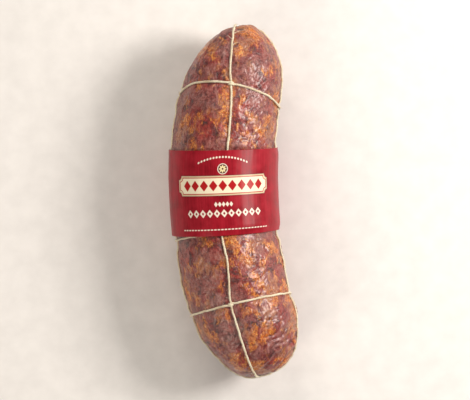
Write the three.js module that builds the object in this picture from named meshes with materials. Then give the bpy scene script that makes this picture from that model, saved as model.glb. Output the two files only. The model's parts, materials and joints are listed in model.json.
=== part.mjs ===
// A whole cured sausage, tied with cotton twine and banded with a paper label.
//
// It lies on its side on a table. X runs across it, Y along it from the foot end to the
// head end, and Z is up. Lengths are millimetres and angles are degrees. The origin is
// on the table, under the middle of the piece.
//
// Every piece except the label is first laid out on a straight sausage, whose axis is Y.
// There the twine runs in four straight lines and four flat rings. One function, settle,
// then pinches, leans, twists and bows that straight layout into the real one, and it
// moves all the pieces alike, so the clearances between them stay.
import * as THREE from 'three';

// The meat
const BODY_LENGTH = 320.5; // along Y, without the twine
const BODY_DIAMETER = 96.5;
const BOW = 46; // how far the foot end swings out to +X
const HEAD_FULLNESS = 4.6; // exponent of the outline, a higher one is blunter
const FOOT_FULLNESS = 6.2;
const REST_FLAT = 2; // how much of the underside its own weight presses flat

// The twine
const TWINE_DIAMETER = 2;
const RING_SPACING = 65;
const RING_MIDDLE = -3; // of the four rings, from the middle of the meat
const RING_LEAN = 18.5; // how far a ring at the head would lean towards the head
const LEAN_FADE = 8; // exponent of the lean's fading out at the two ends
const OUTER_PINCH = 1; // how far the two outer rings draw the meat in
const INNER_PINCH = 2.4; // and the two at the label's edges
const PINCH_REACH = 13;
const FURROW_DEPTH = 1.2; // pressed in by a lengthwise run
const FURROW_REACH = 3.2;
const DEEP_SPREAD = 0.6; // exponent by which a deeper furrow is wider too

// Where the meat is on the table, as shares of half its length and of its radius. The
// deep furrow under the meat starts to fade at the first and is gone at the second.
const TABLE_REACH = [0.6, 0.82];
const UNDERSIDE_REACH = 0.4;
const UNDERSIDE_FOCUS = 5; // how closely the deep pinch of a ring keeps to the underside

// The label
const LABEL_HEIGHT = 77; // along Y
const LABEL_MIDDLE = 10.8;
const LABEL_THICKNESS = 0.4;
const LABEL_TILT = 1.5;
const LABEL_SLACK = 0.9; // how far the band stands off on its loose side, at -X

const CLEARANCE = 0.3; // between pieces that touch
const FLOOR_GAP = 0.15; // between the twine and the table

// How finely the surfaces are faceted
const AROUND = 48;
const LABEL_AROUND = 64;
const STATION_STEP = 6.8;
const CORD_SIDES = 6;
const CROWDING = 0.68; // draws grid lines towards the twine, 0 for an even grid

// Where the front run wanders to, as an angle at the foot, at each ring and at the head
const FRONT_WANDER = [30, 12.5, 3, -3, 1, 36];

// The sideways course of the axis, in shares of BOW, in even steps from foot to head
const SPINE_COURSE = [1, 0.43, 0.125, 0, 0, 0.19, 0.58];

const RING_COUNT = 4;
const BODY_RADIUS = BODY_DIAMETER / 2;
const TWINE_RADIUS = TWINE_DIAMETER / 2;
const RAD = Math.PI / 180;

// Heights above the straight sausage's skin of the middle of a cord
const ON_SKIN = CLEARANCE + TWINE_RADIUS;
const IN_FURROW = ON_SKIN - FURROW_DEPTH;
const OVER_RUN = IN_FURROW + TWINE_DIAMETER + CLEARANCE;
const CROSSING_REACH = 2.6 * (TWINE_DIAMETER + CLEARANCE);

// On the underside the twine is pressed into the meat, so that it clears the table, and
// where the band lies under it too, it clears the band.
const UNDER_BAND = LABEL_THICKNESS + CLEARANCE;
const REST_DEPTH = REST_FLAT + FLOOR_GAP + UNDER_BAND;
const UNDER_FURROW = REST_DEPTH + TWINE_DIAMETER + CLEARANCE;
const UNDER_PINCH = REST_DEPTH + TWINE_DIAMETER + CLEARANCE;

// The axis of the real sausage, in the XY plane
const spine = new THREE.SplineCurve(
  SPINE_COURSE.map((share, i) => new THREE.Vector2(
    BOW * share,
    BODY_LENGTH * (i / (SPINE_COURSE.length - 1) - 0.5),
  )),
);
const HALF = spine.getLength() / 2;

const ringStations = Array.from(
  { length: RING_COUNT },
  (_, k) => RING_MIDDLE + (k - (RING_COUNT - 1) / 2) * RING_SPACING,
);

// A bump of height 1 that fades to nothing at reach, with a rounded top
function bump(distance, reach) {
  const share = Math.min(Math.abs(distance) / reach, 1);
  return Math.cos(share * Math.PI / 2) ** 2;
}

function fullness(station) {
  return station > 0 ? HEAD_FULLNESS : FOOT_FULLNESS;
}

// Half of the straight sausage's outline, from the foot pole to the head pole
class Outline extends THREE.Curve {
  getPoint(t, target = new THREE.Vector2()) {
    const station = -HALF * Math.cos(Math.PI * t);
    const inside = 1 - Math.abs(station / HALF) ** fullness(station);
    return target.set(BODY_RADIUS * Math.sqrt(Math.max(inside, 0)), station);
  }
}
const outline = new Outline();

// The outward direction of the straight sausage's skin at a point of it
function skinNormal({ x, y, z }) {
  const power = fullness(y);
  const along = Math.sign(y) * power * Math.abs(y / HALF) ** (power - 1) / HALF;
  const across = 2 / BODY_RADIUS ** 2;
  return new THREE.Vector3(across * x, along, across * z).normalize();
}

// How deep the lengthwise runs have pressed into the meat at a point of its skin. The
// underside run is pressed deeper over the stretch that lies on the table.
function furrow({ x, y, z }) {
  const overTable = 1 - THREE.MathUtils.smoothstep(Math.abs(y) / HALF, ...TABLE_REACH);
  const below = THREE.MathUtils.smoothstep(-z / BODY_RADIUS, 0, UNDERSIDE_REACH) * overTable;
  const deep = FURROW_DEPTH + (UNDER_FURROW - FURROW_DEPTH) * below;
  const frontBack = deep * bump(x, FURROW_REACH * deep ** DEEP_SPREAD);
  const leftRight = FURROW_DEPTH * bump(z, FURROW_REACH);
  return Math.max(frontBack, leftRight);
}

// A straight line through the wander angles, which stand at the foot, rings and head
function wander(station) {
  const marks = [-HALF, ...ringStations, HALF];
  const last = marks.length - 2;
  const after = marks.findIndex((mark) => mark > station);
  const i = after < 0 ? last : THREE.MathUtils.clamp(after - 1, 0, last);
  const share = THREE.MathUtils.clamp((station - marks[i]) / (marks[i + 1] - marks[i]), 0, 1);
  return THREE.MathUtils.lerp(FRONT_WANDER[i], FRONT_WANDER[i + 1], share) * RAD;
}

// Bows a straight point along the spine and lifts it onto the table
function bow(straight) {
  const station = THREE.MathUtils.clamp(straight.y, -HALF, HALF);
  const share = (station + HALF) / (2 * HALF);
  const at = spine.getPointAt(share);
  const along = spine.getTangentAt(share);
  at.addScaledVector(along, straight.y - station);
  return new THREE.Vector3(
    at.x + along.y * straight.x,
    at.y - along.x * straight.x,
    straight.z + BODY_RADIUS - REST_FLAT,
  );
}

// Takes a point of the straight layout to the real one
function settle(straight) {
  const { x, y, z } = straight;
  const level = z / Math.max(Math.hypot(x, z), 1e-6);
  const below = ((1 - level) / 2) ** UNDERSIDE_FOCUS;
  const drawn = ringStations.reduce((sum, ring, k) => {
    const isOuter = k === 0 || k === RING_COUNT - 1;
    const pinch = THREE.MathUtils.lerp(isOuter ? OUTER_PINCH : INNER_PINCH, UNDER_PINCH, below);
    return sum + pinch * bump(y - ring, PINCH_REACH);
  }, 0);
  const shrink = 1 - drawn / BODY_RADIUS;
  const front = (1 + z / BODY_RADIUS) / 2;
  const turn = wander(y) * front;
  const share = THREE.MathUtils.clamp((y + HALF) / (2 * HALF), 0, 1);
  const lean = RING_LEAN * share * (1 - Math.min(Math.abs(y) / HALF, 1) ** LEAN_FADE);
  return bow(new THREE.Vector3(
    shrink * (x * Math.cos(turn) - z * Math.sin(turn)),
    y + lean * z / BODY_RADIUS,
    shrink * (x * Math.sin(turn) + z * Math.cos(turn)),
  ));
}

// Moves every vertex of a geometry by a function of its place
function reshape(geometry, place) {
  const position = geometry.getAttribute('position');
  const vertex = new THREE.Vector3();
  for (let i = 0; i < position.count; i += 1) {
    const moved = place(vertex.fromBufferAttribute(position, i));
    position.setXYZ(i, moved.x, moved.y, moved.z);
  }
  geometry.computeVertexNormals();
  return geometry;
}

// Draws evenly spread angles towards the four lengthwise runs
function crowdedAngle(angle) {
  return angle - CROWDING / 4 * Math.sin(4 * angle);
}

// Where on the outline, from 0 to 1, a station is
function shareAtStation(station) {
  let low = 0;
  let high = 1;
  for (let i = 0; i < 40; i += 1) {
    const middle = (low + high) / 2;
    if (outline.getPointAt(middle).y < station) low = middle;
    else high = middle;
  }
  return (low + high) / 2;
}

// Points of the outline from pole to pole, drawn towards the rings
function outlineStations() {
  const marks = [0, ...ringStations.map(shareAtStation), 1];
  const points = [outline.getPointAt(0)];
  for (let i = 0; i + 1 < marks.length; i += 1) {
    const span = marks[i + 1] - marks[i];
    const steps = Math.round(span * outline.getLength() / STATION_STEP);
    for (let j = 1; j <= steps; j += 1) {
      const share = j / steps;
      let crowded = share - CROWDING * Math.sin(2 * Math.PI * share) / (2 * Math.PI);
      if (i === 0) crowded = share + CROWDING * Math.sin(Math.PI * share) / Math.PI;
      if (i === marks.length - 2) crowded = share - CROWDING * Math.sin(Math.PI * share) / Math.PI;
      points.push(outline.getPointAt(marks[i] + span * crowded));
    }
  }
  points[0].x = 0;
  points[points.length - 1].x = 0;
  return points;
}
const stations = outlineStations();

// The meat in its casing: one closed solid, flat where it rests on the table and on the
// band. The rows just past the band's edges are lifted with those over it.
function makeBody() {
  const bandMiddle = bow(new THREE.Vector3(0, LABEL_MIDDLE, 0)).y;
  const rowStep = STATION_STEP * (1 + CROWDING);
  const bandReach = LABEL_HEIGHT / 2 + BODY_RADIUS * Math.sin(LABEL_TILT * RAD) + rowStep;
  const geometry = new THREE.LatheGeometry(stations, AROUND);
  return reshape(geometry, (vertex) => {
    const angle = crowdedAngle(Math.atan2(vertex.x, vertex.z));
    const radius = Math.hypot(vertex.x, vertex.z);
    const skin = new THREE.Vector3(
      radius * Math.sin(angle),
      vertex.y,
      radius * Math.cos(angle),
    );
    const pressed = skin.clone().addScaledVector(skinNormal(skin), -furrow(skin));
    const moved = settle(pressed);
    const onBand = Math.abs(moved.y - bandMiddle) < bandReach;
    moved.z = Math.max(moved.z, onBand ? UNDER_BAND : 0);
    return moved;
  });
}

// A closed loop of cord. Each step of its route has a point and the direction away from
// the meat there, both on the straight sausage.
function makeCord(route) {
  const geometry = new THREE.TorusGeometry(2, 1, CORD_SIDES, route.length);
  const position = geometry.getAttribute('position');
  for (let i = 0; i <= route.length; i += 1) {
    const { point, away } = route[i % route.length];
    const before = route[(i + route.length - 1) % route.length].point;
    const after = route[(i + 1) % route.length].point;
    const along = after.clone().sub(before).normalize();
    const side = away.clone().cross(along).normalize();
    const up = along.clone().cross(side);
    for (let j = 0; j <= CORD_SIDES; j += 1) {
      const turn = (j % CORD_SIDES) / CORD_SIDES * 2 * Math.PI;
      const vertex = point.clone()
        .addScaledVector(up, TWINE_RADIUS * Math.cos(turn))
        .addScaledVector(side, TWINE_RADIUS * Math.sin(turn));
      const moved = settle(vertex);
      position.setXYZ(j * (route.length + 1) + i, moved.x, moved.y, moved.z);
    }
  }
  geometry.computeVertexNormals();
  return geometry;
}

// A ring lies on the skin and rises over each lengthwise run that it crosses
function ringRoute(station) {
  const radius = outline.getPointAt(shareAtStation(station)).x;
  return Array.from({ length: AROUND }, (_, i) => {
    const angle = crowdedAngle(i / AROUND * 2 * Math.PI);
    const skin = new THREE.Vector3(radius * Math.sin(angle), station, radius * Math.cos(angle));
    const overFrontBack = skin.z > 0 ? bump(skin.x, CROSSING_REACH) : 0;
    const over = Math.max(overFrontBack, bump(skin.z, CROSSING_REACH));
    const away = new THREE.Vector3(Math.sin(angle), 0, Math.cos(angle));
    const height = THREE.MathUtils.lerp(ON_SKIN, OVER_RUN, over);
    return { point: skin.addScaledVector(away, height), away };
  });
}

// A lengthwise loop goes up one side and down the other, over both poles, in its furrow.
// The loop that crosses over the other rises at the poles.
function lengthwiseRoute(toSkin, isOver) {
  const up = stations.map((point) => toSkin(point.x, point.y));
  const down = stations.slice(1, -1).reverse().map((point) => toSkin(-point.x, point.y));
  return [...up, ...down].map((skin) => {
    const away = skinNormal(skin);
    const crossing = isOver ? (TWINE_DIAMETER + CLEARANCE) * bump(skin.x, CROSSING_REACH) : 0;
    const height = ON_SKIN - furrow(skin) + crossing;
    return { point: skin.clone().addScaledVector(away, height), away };
  });
}

// The paper band: a closed sleeve that stands clear of the twine, looser on one side,
// and lies flat on the table under the meat
function makeLabel() {
  const low = LABEL_MIDDLE - LABEL_HEIGHT / 2;
  const rows = 3;
  const across = Array.from({ length: rows + 1 }, (_, i) => low + LABEL_HEIGHT * i / rows);
  const outside = across.map((y) => new THREE.Vector2(2, y));
  const inside = across.map((y) => new THREE.Vector2(1, y)).reverse();
  const geometry = new THREE.LatheGeometry([...outside, ...inside, outside[0]], LABEL_AROUND);
  const highest = Math.max(IN_FURROW, OVER_RUN - INNER_PINCH) + TWINE_RADIUS;
  const inner = BODY_RADIUS + highest + CLEARANCE;
  return reshape(geometry, (vertex) => {
    const isOuter = Math.hypot(vertex.x, vertex.z) > 1.5;
    const angle = Math.atan2(vertex.x, vertex.z);
    const slack = LABEL_SLACK * (1 - Math.sin(angle)) / 2;
    const radius = inner + slack + (isOuter ? LABEL_THICKNESS : 0);
    const x = radius * Math.sin(angle);
    const moved = bow(new THREE.Vector3(
      x,
      vertex.y + x * Math.tan(LABEL_TILT * RAD),
      radius * Math.cos(angle),
    ));
    moved.z = Math.max(moved.z, isOuter ? 0 : LABEL_THICKNESS);
    return moved;
  });
}

const casing = new THREE.MeshStandardMaterial({ color: 0x7d3a2b, roughness: 0.55 });
const cotton = new THREE.MeshStandardMaterial({ color: 0xd8c7a4, roughness: 0.9 });
const paper = new THREE.MeshStandardMaterial({ color: 0x9c1c2c, roughness: 0.6 });

const sausage = new THREE.Group();

function add(name, geometry, material) {
  const mesh = new THREE.Mesh(geometry, material);
  mesh.name = name;
  sausage.add(mesh);
}

add('salame_body', makeBody(), casing);
add('label_band', makeLabel(), paper);
add(
  'long_tie_front_back',
  makeCord(lengthwiseRoute((radius, y) => new THREE.Vector3(0, y, radius), false)),
  cotton,
);
add(
  'long_tie_left_right',
  makeCord(lengthwiseRoute((radius, y) => new THREE.Vector3(radius, y, 0), true)),
  cotton,
);
ringStations.forEach((station, k) => {
  add(`ring_tie_${k + 1}`, makeCord(ringRoute(station)), cotton);
});

// The origin goes under the middle of the piece's own box
sausage.updateMatrixWorld(true);
const middle = new THREE.Box3().setFromObject(sausage, true).getCenter(new THREE.Vector3());
sausage.position.set(-middle.x, -middle.y, 0);

export default sausage;
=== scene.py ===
# %% [markdown]
# # A tied and banded cured sausage
# The sausage lies on its side: X across it, Y along it from the foot end to the head end,
# Z up, in metres. The CAD model gives the sizes and the places. This script makes the
# looks: the coarse skin of the dried meat, the twisted cotton twine and the printed
# paper band. The frame is loaded first, because every piece is placed from it.

import json
import math

import bpy
import numpy as np
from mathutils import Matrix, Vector, noise
from mathutils.bvhtree import BVHTree
from mathutils.kdtree import KDTree

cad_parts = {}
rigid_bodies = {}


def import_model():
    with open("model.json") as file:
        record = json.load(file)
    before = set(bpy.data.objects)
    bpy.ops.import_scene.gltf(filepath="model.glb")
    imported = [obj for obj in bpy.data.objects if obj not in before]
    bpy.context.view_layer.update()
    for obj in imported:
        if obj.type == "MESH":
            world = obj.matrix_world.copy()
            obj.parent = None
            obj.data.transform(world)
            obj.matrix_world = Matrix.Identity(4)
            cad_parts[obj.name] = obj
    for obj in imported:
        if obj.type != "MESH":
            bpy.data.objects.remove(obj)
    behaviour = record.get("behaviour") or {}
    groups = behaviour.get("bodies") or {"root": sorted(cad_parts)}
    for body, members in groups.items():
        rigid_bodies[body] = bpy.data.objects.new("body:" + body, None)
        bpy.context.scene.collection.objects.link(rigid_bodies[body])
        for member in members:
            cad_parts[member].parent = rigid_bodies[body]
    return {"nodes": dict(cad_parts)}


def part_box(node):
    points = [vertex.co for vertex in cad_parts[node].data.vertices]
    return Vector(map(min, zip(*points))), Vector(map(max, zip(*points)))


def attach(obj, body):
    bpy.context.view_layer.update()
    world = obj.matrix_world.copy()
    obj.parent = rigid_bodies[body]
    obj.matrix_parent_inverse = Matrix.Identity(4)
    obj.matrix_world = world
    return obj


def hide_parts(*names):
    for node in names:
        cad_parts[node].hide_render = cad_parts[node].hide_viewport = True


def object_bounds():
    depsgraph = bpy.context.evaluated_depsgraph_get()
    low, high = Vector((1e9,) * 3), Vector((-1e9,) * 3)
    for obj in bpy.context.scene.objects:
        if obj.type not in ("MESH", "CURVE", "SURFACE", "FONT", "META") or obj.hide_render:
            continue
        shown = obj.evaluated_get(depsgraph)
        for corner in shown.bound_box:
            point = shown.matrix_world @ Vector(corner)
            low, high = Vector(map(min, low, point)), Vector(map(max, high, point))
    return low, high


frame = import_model()
cad_low, cad_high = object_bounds()
body_low, body_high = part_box("salame_body")
band_low, band_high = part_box("label_band")
MM = 0.001
print("the frame's pieces:", sorted(frame["nodes"]))

# %% [markdown]
# ## Small helpers
# A colour is written as a painter would give it, as an sRGB hex value, and Cycles wants
# linear light, so one function turns the first into the second. A second function adds
# one node to a material with its settings and its links, which keeps a material readable
# from the coordinates down to the shader. A third makes an object from plain arrays.


# %% Helpers for colours, nodes and meshes
def colour(hex_code):
    """Linear RGBA of an sRGB hex colour such as "#8a3324"."""
    channels = [int(hex_code[i : i + 2], 16) / 255 for i in (1, 3, 5)]
    return [c / 12.92 if c <= 0.04045 else ((c + 0.055) / 1.055) ** 2.4 for c in channels] + [1]


def add(tree, kind, inputs=None, ramp=None, **settings):
    """Adds a node. inputs maps a socket's name or number to a value or to an output."""
    node = tree.nodes.new("ShaderNode" + kind)
    for name, value in settings.items():
        setattr(node, name, value)
    if ramp:
        stops = node.color_ramp.elements
        while len(stops) < len(ramp):
            stops.new(1)
        for stop, (place, code) in zip(stops, ramp):
            stop.position = place
            stop.color = colour(code)
    for socket, value in (inputs or {}).items():
        if isinstance(value, bpy.types.NodeSocket):
            tree.links.new(value, node.inputs[socket])
        else:
            node.inputs[socket].default_value = value
    return node


def new_material(name):
    """An empty node material and its output node."""
    made = bpy.data.materials.new(name)
    made.use_nodes = True
    made.node_tree.nodes.clear()
    return made, made.node_tree, add(made.node_tree, "OutputMaterial")


def new_object(name, points, faces, material, smooth=True):
    """A mesh object from a list of points and a list of faces."""
    mesh = bpy.data.meshes.new(name)
    mesh.from_pydata([tuple(p) for p in points], [], [tuple(f) for f in faces])
    mesh.update()
    mesh.shade_smooth() if smooth else mesh.shade_flat()
    mesh.materials.append(material)
    made = bpy.data.objects.new(name, mesh)
    bpy.context.scene.collection.objects.link(made)
    return made


print("one node helper, one colour helper, one mesh helper")

# %% [markdown]
# ## Camera, floor and light
# The sausage is looked at from straight above its printed side, through a long lens, so
# that both ends are seen the same size. A pale matt floor carries its shadow. One large
# soft light stands high on the right and towards the head, which is why the skin shines
# on that side and why each strand of twine has its shadow on the left and below. A weak
# fill from each of two other sides and a grey surround keep the left side readable. In
# every material a noise's scale is how many of its patches fit in one metre.

# %% Camera
SENSOR_WIDTH = 36  # mm, as on a full-frame camera
VIEW_WIDTH = 434.75 * MM  # how wide the view is at the middle of the sausage
CAMERA_DISTANCE = 1.5
middle = (cad_low + cad_high) / 2
AIM_OFFSET = Vector((1.8 * MM, 0.9 * MM, 0))  # the piece stands a touch left and low

camera_data = bpy.data.cameras.new("camera")
camera_data.sensor_width = SENSOR_WIDTH
camera_data.lens = SENSOR_WIDTH * CAMERA_DISTANCE / VIEW_WIDTH
camera = bpy.data.objects.new("camera", camera_data)
camera.location = middle + AIM_OFFSET + Vector((0, 0, CAMERA_DISTANCE))
bpy.context.scene.collection.objects.link(camera)
bpy.context.scene.camera = camera
print("lens", round(camera_data.lens, 1), "mm")

# %% Floor
BOARD_PATCHES = 60  # to a metre, so a patch is 17 mm wide
floor_material, tree, out = new_material("matt_studio_board")
where = add(tree, "TexCoord")
grain = add(
    tree, "TexNoise", {"Vector": where.outputs["Object"], "Scale": BOARD_PATCHES, "Detail": 4}
)
tone = add(tree, "ValToRGB", {0: grain.outputs[0]}, ramp=[(0.3, "#e9e8e6"), (0.7, "#f1f0ee")])
board = add(tree, "BsdfPrincipled", {"Base Color": tone.outputs[0], "Roughness": 0.85})
tree.links.new(board.outputs[0], out.inputs[0])
FLOOR_HALF = 3
floor = new_object(
    "floor",
    [(x * FLOOR_HALF, y * FLOOR_HALF, 0) for x, y in ((-1, -1), (1, -1), (1, 1), (-1, 1))],
    [(0, 1, 2, 3)],
    floor_material,
)
print("floor", 2 * FLOOR_HALF, "m across")


# %% Lights
def soft_light(name, place, size, power, tint):
    """A square light that faces the middle of the sausage."""
    data = bpy.data.lights.new(name, "AREA")
    data.size = size
    data.energy = power
    data.color = colour(tint)[:3]
    light = bpy.data.objects.new(name, data)
    light.location = middle + Vector(place)
    light.rotation_euler = Vector(place).to_track_quat("Z", "Y").to_euler()
    bpy.context.scene.collection.objects.link(light)


soft_light("key", (1.0, 0.28, 0.8), 0.42, 17.8, "#fff6ee")
soft_light("head_fill", (-0.3, 1.1, 0.9), 0.7, 7.2, "#fff3e4")
soft_light("left_fill", (-0.8, -0.8, 0.85), 0.7, 6.6, "#fff0de")
world = bpy.data.worlds.new("surround")
world.use_nodes = True
surround = world.node_tree.nodes["Background"]
surround.inputs["Color"].default_value = colour("#dcdcdc")
surround.inputs["Strength"].default_value = 0.3
bpy.context.scene.world = world
bpy.context.scene.view_settings.view_transform = "Standard"
print("three lights and a grey surround")

# %% [markdown]
# ## The skin's own shape
# Real salame of this kind is coarse meat and fat in a thin casing that dried onto it, so
# the skin shows every lump. It could be made by sculpting, or by a displacement texture.
# Here a copy of the CAD solid is remeshed into small even squares and smoothed, and then
# each point is moved by formulas: broad swells, lumps of meat and fat, and wrinkles between
# them. Formulas give the same skin on every run, and the numbers that make a wrinkle deep
# can make it dark later.

# %% An even, smooth copy of the solid
VOXEL = 0.9 * MM
SOFTENING_STEPS = 90  # enough to wash out the solid's facets, which are up to 10 mm wide

skin_source = bpy.data.objects.new("skin_source", frame["nodes"]["salame_body"].data.copy())
bpy.context.scene.collection.objects.link(skin_source)
remesh = skin_source.modifiers.new("even squares", "REMESH")
remesh.mode = "VOXEL"
remesh.voxel_size = VOXEL
soften = skin_source.modifiers.new("soften", "SMOOTH")
soften.factor = 0.5
soften.iterations = SOFTENING_STEPS
ready = skin_source.evaluated_get(bpy.context.evaluated_depsgraph_get())
skin_mesh = bpy.data.meshes.new_from_object(ready)
bpy.data.objects.remove(skin_source)


def read_vectors(mesh, kind):
    """The "co" or the "normal" of every point of a mesh, as rows of x, y and z."""
    flat = np.zeros(len(mesh.vertices) * 3, np.float32)
    mesh.vertices.foreach_get(kind, flat)
    return flat.reshape(-1, 3).astype(float)


def write_points(mesh, points):
    mesh.vertices.foreach_set("co", points.astype(np.float32).ravel())
    mesh.update()


skin = read_vectors(skin_mesh, "co")
print("skin points", len(skin))


# %% Repeatable noise
SEED_STEP = np.array([17.3, -9.1, 5.7])  # each seed reads another part of the same noise
FADING = 0.8  # of each finer octave
FINER = 2.1  # times from one octave to the next
STRETCH = 1.5  # brings the noise to about -1 to 1


def soft_noise(points, size, seed, octaves=1):
    """Smooth noise of about -1 to 1 whose bumps are size across, the same on every run."""
    scaled = (points / size + SEED_STEP * seed).tolist()
    return np.array([noise.fractal(p, FADING, FINER, octaves) for p in scaled]) * STRETCH


print("noise at one place:", soft_noise(np.full((1, 3), 0.5), 1, 1).round(3))

# %% [markdown]
# The relief is laid over the skin from coarse to fine. Broad swells come from the filling,
# lumps of about 7 mm are the pieces of meat and fat, and wrinkles are where the casing
# dried onto them. The sausage was stuffed and twisted, so its wrinkles run on a slant and
# are longer than they are wide. Folding noise about zero gives such sharp little valleys.

# %% Swells, lumps and wrinkles
SLANT = math.radians(32)
LONGER = 0.45  # a lump's width as a share of its length along the slant
VALLEY_SHARPNESS = 3.2
WARP = 3 * MM  # how far the pattern is bent aside, so that it looks grown
along_slant = np.array([math.sin(SLANT), math.cos(SLANT), 0])
across_slant = np.array([math.cos(SLANT), -math.sin(SLANT), 0])
warp = np.stack([soft_noise(skin, 11 * MM, 20 + k, 2) for k in range(3)], axis=1) * WARP
warped = skin + warp
slanted = np.stack([warped @ across_slant, warped @ along_slant * LONGER, warped[:, 2]], axis=1)

swell = soft_noise(skin, 32 * MM, 41) * 0.9 * MM + soft_noise(skin, 15 * MM, 42) * 0.5 * MM
lumps = soft_noise(slanted, 6.5 * MM, 44, 2) * 0.42 * MM
folds = np.abs(soft_noise(slanted, 4.2 * MM, 43, 2))
wrinkles = -0.38 * MM * np.clip(1 - folds * VALLEY_SHARPNESS, 0, 1)
small_lumps = soft_noise(warped, 2.6 * MM, 45) * 0.17 * MM
print("wrinkles cover", round(float((wrinkles < 0).mean()) * 100), "% of the skin")

# %% Plainer under the band
# what the band hides stays plain, so that the paper lies close over it
BAND_SHOULDER = 5 * MM
SWELL_UNDER_BAND = 0.25
band_middle_y = (band_low.y + band_high.y) / 2
band_half = (band_high.y - band_low.y) / 2
from_band = (np.abs(skin[:, 1] - band_middle_y) - (band_half - BAND_SHOULDER)) / BAND_SHOULDER
bare = np.clip(from_band, 0, 1)
print("bare skin:", round(float((bare > 0).mean()) * 100), "%")


# %% Uneven places
def bump(distance, reach):
    """1 at no distance, falling smoothly to 0 at reach."""
    return np.cos(np.clip(np.abs(distance) / reach, 0, 1) * math.pi / 2) ** 2


def near_place(x, y, z, reach):
    """1 at a place given in mm, fading to 0 at a reach in mm."""
    return bump(np.linalg.norm(skin / MM - [x, y, z], axis=1), reach)


UNEVEN_PLACES = (  # x, y, z, reach, and how far the meat stands out, all in mm
    (-16, 156, 50, 30, -4.5),
    (-34, 137, 50, 30, -2.6),
    (16, 160, 62, 13, 2.2),
    (46, 112, 50, 42, 2.6),
    (-55, 93, 48, 16, 1.5),
    (-14, -148, 48, 36, -2.6),
    (58, -98, 48, 22, 2.2),
)

skin_mesh.update()
outward = read_vectors(skin_mesh, "normal")
relief = swell * np.maximum(bare, SWELL_UNDER_BAND) + (lumps + wrinkles + small_lumps) * bare
for x, y, z, reach, push in UNEVEN_PLACES:
    relief = relief + push * MM * near_place(x, y, z, reach)
lumpy = skin + outward * relief[:, None]
write_points(skin_mesh, lumpy)
print("relief from", round(relief.min() / MM, 2), "to", round(relief.max() / MM, 2), "mm")

# %% [markdown]
# ## Where the twine runs
# The real twine is pulled tight over the skin, so its route is worked out on the skin: a
# ray goes out from the sausage's axis at each step, and the strand lies where it meets
# the skin. The axis comes from the CAD solid, as the middle of each slice. A lengthwise
# run wanders a few degrees from ring to ring, and a ring leans, as hand-tied ones do.

# %% The axis and the ray
CAP_REACH = 0.046  # how far inside each end the rays of the end cap start
SLICES = 24
HALF_SLICE = 3 * MM
AXIS_DEGREE = 5  # enough for one bow and its two straighter ends

axis_height = (body_low.z + body_high.z) / 2
foot_y = body_low.y + CAP_REACH
head_y = body_high.y - CAP_REACH
slice_y = np.linspace(foot_y, head_y, SLICES)
slice_x = []
for y in slice_y:
    row = skin[np.abs(skin[:, 1] - y) < HALF_SLICE]
    slice_x.append((row[:, 0].min() + row[:, 0].max()) / 2)
axis_fit = np.polynomial.Polynomial.fit(slice_y, slice_x, AXIS_DEGREE)


def axis_point(y):
    return Vector((float(axis_fit(y)), y, axis_height))


def face_tree(mesh):
    """A search tree of a mesh, which finds where rays meet it and what is nearest."""
    mesh.calc_loop_triangles()
    points = [v.co.copy() for v in mesh.vertices]
    return BVHTree.FromPolygons(points, [tuple(t.vertices) for t in mesh.loop_triangles])


lumpy_tree = face_tree(skin_mesh)


def on_skin(start, direction):
    """Where a ray from inside meets the skin, and the skin's outward direction there."""
    hit, normal, _, _ = lumpy_tree.ray_cast(start, direction)
    return np.array(hit), np.array(normal)


print("the axis swings from", round(min(slice_x) / MM, 1), "to", round(max(slice_x) / MM, 1), "mm")

# %% [markdown]
# Each lengthwise loop goes from foot to head on one side and back on the other. Its
# angles are given at listed places along the sausage, in degrees from straight up,
# with plus towards +X. Each ring has the height of its two side points and of its front
# point along Y, and the rays in between follow a smooth curve.

# %% Where each loop and ring goes
FRONT_PLACES = [-112, -104, -95, -84, -70, -52, -36, -20, 38, 57, 74, 90, 107, 129, 146]
FRONT_ANGLES = [-10, -10.2, -11.5, -9, -5.5, -3.2, -5.5, -5, 3.8, 5.6, 5.4, 4.2, 1.2, -8, -11]
LEFT_PLACES = [-112, 45, 98, 106, 113, 120]
LEFT_ANGLES = [-84, -84, -88.5, -93, -96, -98]
RIGHT_ANGLE = 81
BACK_ANGLE = 180
FOOT_POLE = Vector((0.25, -0.97, 0)).normalized()  # where the front run crosses the end
HEAD_POLE = Vector((0.07, 1, 0)).normalized()
SIDE_FOOT_POLE = Vector((0.24, -0.97, 0))  # where the side run crosses it
SIDE_HEAD_POLE = Vector((0.0, 1, -0.12))
RINGS = {  # middle of the two sides, lean to the front, lean to the right, all along Y
    "ring_tie_1": (-95.8, 4.9, 10.3),
    "ring_tie_2": (-29.8, 3.0, 6.8),
    "ring_tie_3": (28.5, 9.0, -1.5),
    "ring_tie_4": (91.4, 14.6, -7.4),
}
print("the front run is given at", len(FRONT_PLACES), "places")

# %% Rays for the two loops and the four rings
RUN_RAYS = 120
END_RAYS = 70
RING_RAYS = 220


def across(angle):
    """The direction square to Y at an angle from straight up, in degrees."""
    return Vector((math.sin(math.radians(angle)), 0, math.cos(math.radians(angle))))


def half_loop(angle_at, first_y, last_y, pole, last_angle):
    """Rays along one side of the sausage and then round the end, to the far side."""
    run = np.linspace(first_y, last_y, RUN_RAYS)
    rays = [(axis_point(y), across(angle_at(y))) for y in run]
    start = axis_point(last_y)
    rise = across(angle_at(last_y))
    fall = across(last_angle)
    for turn in np.linspace(0, math.pi, END_RAYS)[1:-1]:
        side = rise * max(math.cos(turn), 0) - fall * min(math.cos(turn), 0)
        rays.append((start, (side + pole * math.sin(turn)).normalized()))
    return rays


def loop_rays(up_angle, down_angle, foot_pole, head_pole):
    up = half_loop(up_angle, foot_y, head_y, head_pole, down_angle(head_y))
    down = half_loop(down_angle, head_y, foot_y, foot_pole, up_angle(foot_y))
    return up + down


def front_angle(y):
    return float(np.interp(y / MM, FRONT_PLACES, FRONT_ANGLES))


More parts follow.
